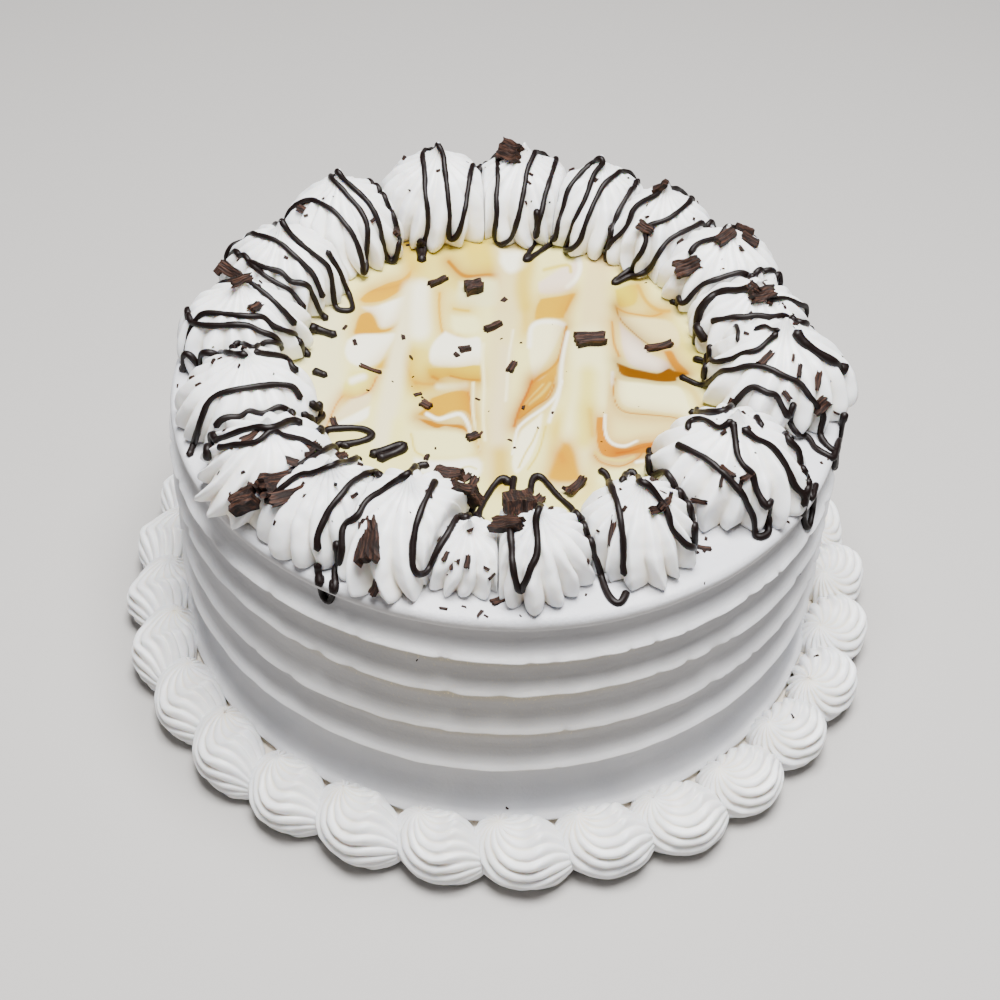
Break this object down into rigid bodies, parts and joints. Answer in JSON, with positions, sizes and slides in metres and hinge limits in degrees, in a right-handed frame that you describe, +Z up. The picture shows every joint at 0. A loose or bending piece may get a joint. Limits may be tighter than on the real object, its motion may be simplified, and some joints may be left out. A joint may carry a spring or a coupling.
{
  "type": "iced cream cake",
  "caption": "Round whipped cream cake with scraped ribbed sides, marbled caramel glaze on top, a ring of piped rosettes with chocolate drizzle, and a shell border at the foot.",
  "frame": {"origin": "centre of the flat underside of the cake", "axes": "+Z up out of the top of the cake, -Y towards the front that the picture shows"},
  "size_m": [0.2535, 0.2531, 0.127],
  "materials": {
    "side_cream": "smooth scraped whipped cream with a soft sheen and a little pearl shimmer",
    "rosette_cream": "soft white piped whipped cream",
    "shell_cream": "soft white piped whipped cream, warmer in its grooves",
    "marbled_glaze": "glossy ivory glaze marbled with amber caramel",
    "chocolate": "dark chocolate, satin on the drizzle and duller on the shavings"
  },
  "bodies": {
    "root": {"cake_body": "side_cream", "marbled_glaze": "marbled_glaze", "rosette_01": "rosette_cream", "rosette_02": "rosette_cream", "rosette_03": "rosette_cream", "rosette_04": "rosette_cream", "rosette_05": "rosette_cream", "rosette_06": "rosette_cream", "rosette_07": "rosette_cream", "rosette_08": "rosette_cream", "rosette_09": "rosette_cream", "rosette_10": "rosette_cream", "rosette_11": "rosette_cream", "rosette_12": "rosette_cream", "rosette_13": "rosette_cream", "rosette_14": "rosette_cream", "rosette_15": "rosette_cream", "rosette_16": "rosette_cream", "rosette_17": "rosette_cream", "rosette_18": "rosette_cream", "shell_01": "shell_cream", "shell_02": "shell_cream", "shell_03": "shell_cream", "shell_04": "shell_cream", "shell_05": "shell_cream", "shell_06": "shell_cream", "shell_07": "shell_cream", "shell_08": "shell_cream", "shell_09": "shell_cream", "shell_10": "shell_cream", "shell_11": "shell_cream", "shell_12": "shell_cream", "shell_13": "shell_cream", "shell_14": "shell_cream", "shell_15": "shell_cream", "shell_16": "shell_cream", "shell_17": "shell_cream", "shell_18": "shell_cream", "shell_19": "shell_cream", "shell_20": "shell_cream", "shell_21": "shell_cream", "shell_22": "shell_cream", "shell_23": "shell_cream", "shell_24": "shell_cream", "shell_25": "shell_cream", "shell_26": "shell_cream", "shell_27": "shell_cream", "shell_28": "shell_cream", "shell_29": "shell_cream"}
  },
  "joints": []
}
